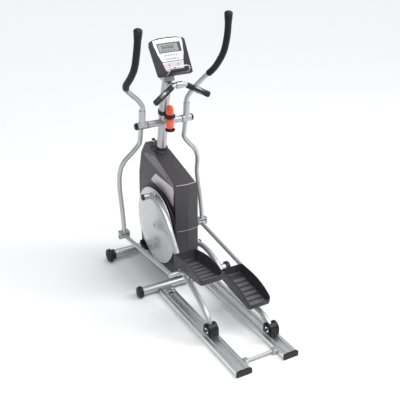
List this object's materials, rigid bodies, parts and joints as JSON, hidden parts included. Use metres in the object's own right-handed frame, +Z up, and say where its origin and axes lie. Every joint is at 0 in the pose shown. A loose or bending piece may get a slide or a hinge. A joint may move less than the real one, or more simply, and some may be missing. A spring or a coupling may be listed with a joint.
{
  "type": "elliptical trainer",
  "caption": "Elliptical trainer: front crank in a shroud, a silver disc on its left, rear rollers on rails, pedals linked to swinging handlebars, console and bottle.",
  "frame": {"origin": "on the floor, midway along the length and on the machine's middle plane", "axes": "+X to the user's right, +Y to the front (crank and console end), +Z up"},
  "size_m": [0.644, 1.456, 1.6702],
  "materials": {
    "silver_paint": "satin silver powder coat",
    "frame_paint": "satin grey paint",
    "rail_aluminium": "drawn, lightly brushed",
    "disc_plastic": "smooth silver",
    "shroud_plastic": "fine-grained dark grey",
    "black_plastic": "fine-grained black",
    "pedal_plastic": "moulded, ribbed",
    "grip_foam": "soft foam",
    "sensor_plastic": "smooth black",
    "roller_rubber": "hard tread",
    "wheel_plastic": "moulded black",
    "steel": "turned",
    "flywheel_iron": "machined rim",
    "belt_rubber": "matt",
    "face_plastic": "silver film",
    "lcd_glass": "unlit grey-green",
    "button_grey": "soft grey",
    "button_red": "soft dark red",
    "wire_chrome": "polished wire",
    "bottle_orange": "translucent orange red"
  },
  "bodies": {
    "frame": {"main_frame": "frame_paint", "front_stabiliser": "silver_paint", "mid_stabiliser": "silver_paint", "mid_foot_left": "black_plastic", "mid_foot_right": "black_plastic", "rail_left": "rail_aluminium", "rail_right": "rail_aluminium", "rail_cap_left": "black_plastic", "rail_cap_right": "black_plastic", "rear_cross_rod": "silver_paint", "crank_bearing_left": "steel", "crank_bearing_right": "steel", "drive_belt": "belt_rubber", "shroud_left": "shroud_plastic", "shroud_right": "shroud_plastic", "disc_guard": "black_plastic", "power_inlet": "black_plastic", "mast_collar": "black_plastic", "mast": "silver_paint", "fixed_handlebar": "silver_paint", "fixed_grip_left": "sensor_plastic", "fixed_grip_right": "sensor_plastic", "bottle_cage": "black_plastic", "console_housing": "black_plastic", "console_face": "face_plastic", "console_lcd": "lcd_glass", "rack_wire": "wire_chrome"},
    "crank": {"crank_axle": "steel", "drive_pulley": "black_plastic", "crank_disc": "disc_plastic", "crank_arm": "disc_plastic"},
    "flywheel": {"flywheel": "flywheel_iron"},
    "brake": {"magnet_arm": "frame_paint"},
    "bottle": {"water_bottle": "bottle_orange"},
    "button_start": {"button_start": "button_red"},
    "button_up": {"button_up": "button_grey"},
    "button_down": {"button_down": "button_grey"},
    "carriage_left": {"roller_cover_left": "black_plastic"},
    "roller_left": {"roller_left": "roller_rubber"},
    "leg_left": {"leg_left": "silver_paint", "crank_pin_left": "black_plastic"},
    "pedal_left": {"pedal_link_left": "silver_paint", "pedal_left": "pedal_plastic"},
    "arm_left": {"lower_arm_left": "silver_paint", "moving_handlebar_left": "silver_paint", "moving_grip_left": "grip_foam", "pivot_cap_left": "black_plastic"},
    "transport_left": {"transport_wheel_left": "wheel_plastic"},
    "carriage_right": {"roller_cover_right": "black_plastic"},
    "roller_right": {"roller_right": "roller_rubber"},
    "leg_right": {"leg_right": "silver_paint", "crank_pin_right": "black_plastic"},
    "pedal_right": {"pedal_link_right": "silver_paint", "pedal_right": "pedal_plastic"},
    "arm_right": {"lower_arm_right": "silver_paint", "moving_handlebar_right": "silver_paint", "moving_grip_right": "grip_foam", "pivot_cap_right": "black_plastic"},
    "transport_right": {"transport_wheel_right": "wheel_plastic"}
  },
  "joints": [
    {"name": "left_arm_swing", "type": "hinge", "parent": "frame", "child": "arm_left", "pos_m": [-0.1465, 0.435, 0.997], "axis": [1, 0, 0], "range_deg": [0, 10.78]},
    {"name": "right_arm_swing", "type": "hinge", "parent": "frame", "child": "arm_right", "pos_m": [0.1465, 0.435, 0.997], "axis": [1, 0, 0], "range_deg": [-11.95, 0]},
    {"name": "left_roller_slide", "type": "slide", "parent": "frame", "child": "carriage_left", "axis": [0, 1, 0], "range_m": [0, 0.11161]},
    {"name": "left_roller_spin", "type": "hinge", "parent": "carriage_left", "child": "roller_left", "pos_m": [-0.147, -0.38212, 0.072], "axis": [1, 0, 0], "range_deg": [-188.06, 0]},
    {"name": "left_leg_pitch", "type": "hinge", "parent": "carriage_left", "child": "leg_left", "pos_m": [-0.147, -0.38212, 0.072], "axis": [1, 0, 0], "range_deg": [-5.55, 0]},
    {"name": "left_pedal_pitch", "type": "hinge", "parent": "leg_left", "child": "pedal_left", "pos_m": [-0.147, -0.13161, 0.31644], "axis": [1, 0, 0], "range_deg": [0, 10.26]},
    {"name": "right_roller_slide", "type": "slide", "parent": "frame", "child": "carriage_right", "axis": [0, 1, 0], "range_m": [-0.14597, 0]},
    {"name": "right_roller_spin", "type": "hinge", "parent": "carriage_right", "child": "roller_right", "pos_m": [0.147, -0.53472, 0.072], "axis": [1, 0, 0], "range_deg": [0, 245.97]},
    {"name": "right_leg_pitch", "type": "hinge", "parent": "carriage_right", "child": "leg_right", "pos_m": [0.147, -0.53472, 0.072], "axis": [1, 0, 0], "range_deg": [0, 4.77]},
    {"name": "right_pedal_pitch", "type": "hinge", "parent": "leg_right", "child": "pedal_right", "pos_m": [0.147, -0.19817, 0.16813], "axis": [1, 0, 0], "range_deg": [-5.98, 0]},
    {"name": "crank_spin", "type": "hinge", "parent": "frame", "child": "crank", "pos_m": [0, 0.353, 0.374], "axis": [1, 0, 0], "range_deg": [-50.02, 0]},
    {"name": "flywheel_spin", "type": "hinge", "parent": "frame", "child": "flywheel", "pos_m": [-0.05, 0.54, 0.3], "axis": [1, 0, 0], "range_deg": [-350.02, 0]},
    {"name": "brake_swing", "type": "hinge", "parent": "frame", "child": "brake", "pos_m": [-0.0585, 0.55046, 0.41954], "axis": [1, 0, 0], "range_deg": [0, 6]},
    {"name": "left_transport_wheel_spin", "type": "hinge", "parent": "frame", "child": "transport_left", "pos_m": [-0.299, 0.685, 0.043], "axis": [1, 0, 0], "continuous": true},
    {"name": "right_transport_wheel_spin", "type": "hinge", "parent": "frame", "child": "transport_right", "pos_m": [0.299, 0.685, 0.043], "axis": [1, 0, 0], "continuous": true},
    {"name": "button_start_press", "type": "slide", "parent": "frame", "child": "button_start", "axis": [0, 0.8261, -0.5635], "range_m": [0, 0.0015], "stiffness_N_per_m": 300},
    {"name": "button_up_press", "type": "slide", "parent": "frame", "child": "button_up", "axis": [0, 0.8261, -0.5635], "range_m": [0, 0.0015], "stiffness_N_per_m": 300},
    {"name": "button_down_press", "type": "slide", "parent": "frame", "child": "button_down", "axis": [0, 0.8261, -0.5635], "range_m": [0, 0.0015], "stiffness_N_per_m": 300},
    {"name": "bottle_lift", "type": "slide", "parent": "frame", "child": "bottle", "axis": [0, 0, 1], "range_m": [0, 0.06]}
  ],
  "couplings": [
    {"joint": "right_arm_swing", "follows": "left_arm_swing", "ratio": -1.1064},
    {"joint": "left_roller_slide", "follows": "left_arm_swing", "m_per_rad": 0.59284},
    {"joint": "left_roller_spin", "follows": "left_arm_swing", "ratio": -17.436},
    {"joint": "left_leg_pitch", "follows": "left_arm_swing", "ratio": -0.51296},
    {"joint": "left_pedal_pitch", "follows": "left_arm_swing", "ratio": 0.94952},
    {"joint": "right_roller_slide", "follows": "left_arm_swing", "m_per_rad": -0.77539},
    {"joint": "right_roller_spin", "follows": "left_arm_swing", "ratio": 22.806},
    {"joint": "right_leg_pitch", "follows": "left_arm_swing", "ratio": 0.44076},
    {"joint": "right_pedal_pitch", "follows": "left_arm_swing", "ratio": -0.55285},
    {"joint": "crank_spin", "follows": "left_arm_swing", "ratio": -4.6363},
    {"joint": "flywheel_spin", "follows": "left_arm_swing", "ratio": -32.454}
  ]
}
